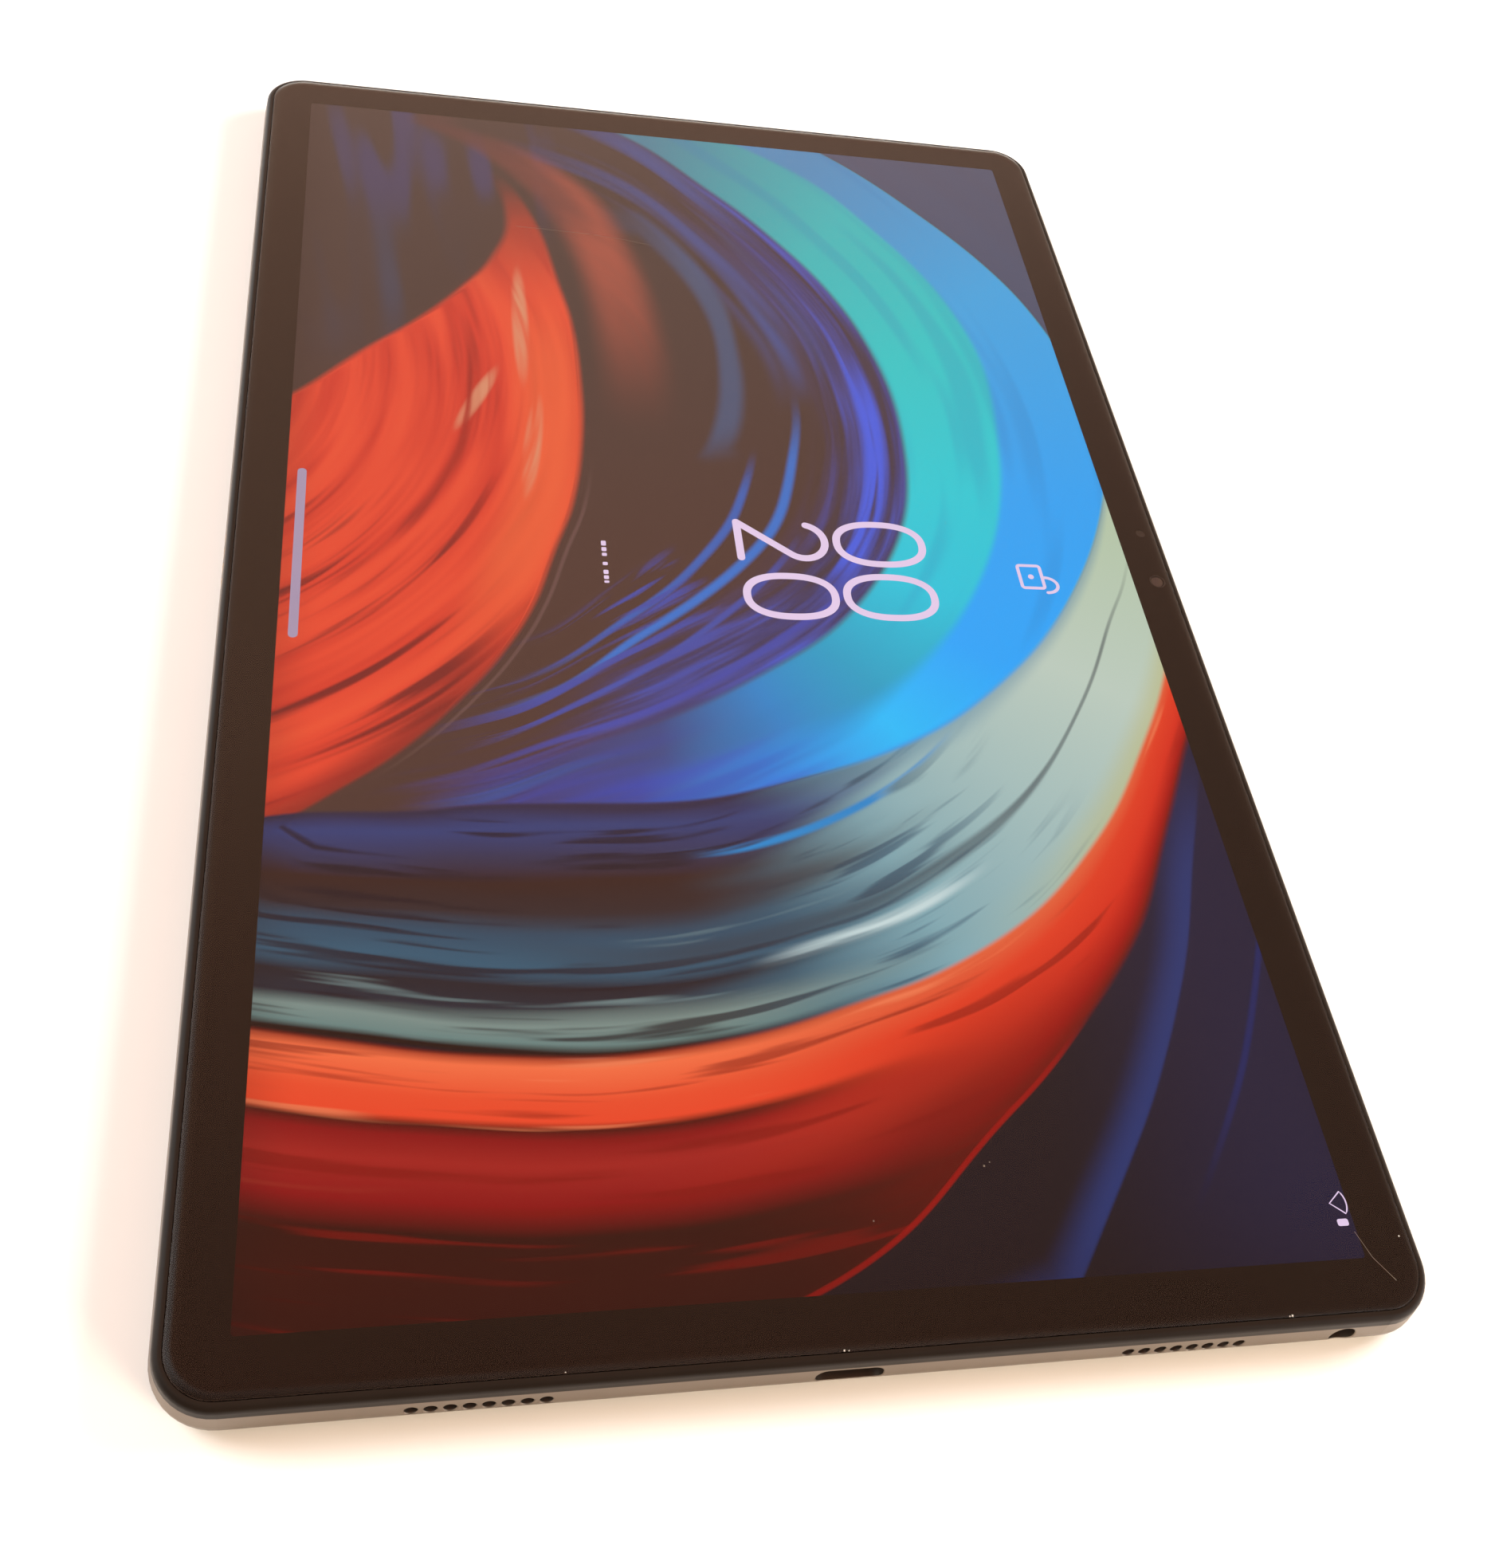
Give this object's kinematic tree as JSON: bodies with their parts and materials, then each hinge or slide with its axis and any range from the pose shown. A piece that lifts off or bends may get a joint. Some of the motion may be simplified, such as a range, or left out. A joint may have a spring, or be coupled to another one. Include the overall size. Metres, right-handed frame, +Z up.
{
  "type": "tablet computer",
  "caption": "Thin tablet computer: lit touch screen in a black glass front, satin metal back shell, stereo grilles, charging port, audio jack, buttons and a card tray.",
  "frame": {"origin": "centre of the back face, which the tablet lies on", "axes": "+Z up out of the screen; +Y along the length, away from the charging port's end; +X across the width, towards the side with the front camera"},
  "size_m": [0.1695, 0.2693, 0.0074],
  "materials": {
    "shell_aluminium": "bead-blasted anodised, satin",
    "frame_plastic": "fine satin moulded",
    "back_strip_plastic": "satin moulded",
    "cover_glass": "polished",
    "adhesive": "matte",
    "display_panel": "glossy",
    "backlight_white": "satin",
    "plate_metal": "rolled",
    "screw_steel": "turned",
    "battery_foil": "satin foil",
    "circuit_board": "solder mask",
    "shield_steel": "tinned",
    "chip_black": "moulded",
    "thermal_grey": "soft matte",
    "flex_film": "satin film",
    "contact_gold": "plated",
    "connector_steel": "drawn",
    "black_plastic": "moulded",
    "mesh_steel": "woven, blackened",
    "lens_glass": "coated, polished",
    "camera_metal": "turned, anodised",
    "button_aluminium": "anodised, satin",
    "flash_plastic": "frosted",
    "cable_black": "matte"
  },
  "bodies": {
    "tablet": {"rear_cover": "shell_aluminium", "antenna_window": "back_strip_plastic", "frame_ring": "frame_plastic", "cover_glass": "cover_glass", "display_adhesive": "adhesive", "lcd_panel": "display_panel", "backlight_unit": "backlight_white", "display_flex": "flex_film", "mid_plate": "plate_metal", "plate_screws": "screw_steel", "board_screws": "screw_steel", "battery_cell_left": "battery_foil", "battery_cell_right": "battery_foil", "battery_board": "circuit_board", "main_board": "circuit_board", "processor_shield": "shield_steel", "memory_shield": "shield_steel", "radio_shield": "shield_steel", "processor_chip": "chip_black", "memory_chip": "chip_black", "radio_chip": "chip_black", "thermal_pad": "thermal_grey", "usb_board": "circuit_board", "usb_c_shell": "connector_steel", "usb_c_tongue": "black_plastic", "board_link_flex": "flex_film", "audio_jack": "black_plastic", "front_camera_module": "black_plastic", "front_camera_lens": "lens_glass", "front_camera_flex": "flex_film", "light_sensor": "chip_black", "rear_camera_ring": "camera_metal", "rear_camera_window": "lens_glass", "rear_camera_housing": "black_plastic", "rear_camera_sensor": "circuit_board", "flash_lens": "flash_plastic", "flash_led": "flash_plastic", "power_switch": "shield_steel", "volume_switches": "shield_steel", "button_flex": "flex_film", "card_socket": "shield_steel", "microphones": "shield_steel", "keyboard_contacts": "contact_gold", "contact_block": "black_plastic", "antenna": "flex_film", "coax_cable": "cable_black", "speaker_near_left": "black_plastic", "speaker_mesh_near_left": "mesh_steel", "speaker_near_right": "black_plastic", "speaker_mesh_near_right": "mesh_steel", "speaker_far_left": "black_plastic", "speaker_mesh_far_left": "mesh_steel", "speaker_far_right": "black_plastic", "speaker_mesh_far_right": "mesh_steel"},
    "power_button": {"power_button": "button_aluminium"},
    "volume_rocker": {"volume_rocker": "button_aluminium"},
    "card_tray": {"card_tray": "button_aluminium", "memory_card": "black_plastic"},
    "camera_focus": {"rear_camera_barrel": "black_plastic", "rear_camera_lens": "lens_glass"}
  },
  "joints": [
    {"name": "power_press", "type": "slide", "parent": "tablet", "child": "power_button", "axis": [0, -1, 0], "range_m": [0, 0.0003], "stiffness_N_per_m": 2000},
    {"name": "volume_rock", "type": "hinge", "parent": "tablet", "child": "volume_rocker", "pos_m": [0.08285, 0.104, 0.00335], "axis": [0, 0, 1], "range_deg": [-1.2, 1.2], "stiffness_Nm_per_rad": 0.3},
    {"name": "tray_slide", "type": "slide", "parent": "tablet", "child": "card_tray", "axis": [1, 0, 0], "range_m": [0, 0.018]},
    {"name": "focus_slide", "type": "slide", "parent": "tablet", "child": "camera_focus", "axis": [0, 0, -1], "range_m": [0, 0.00025], "stiffness_N_per_m": 40}
  ]
}
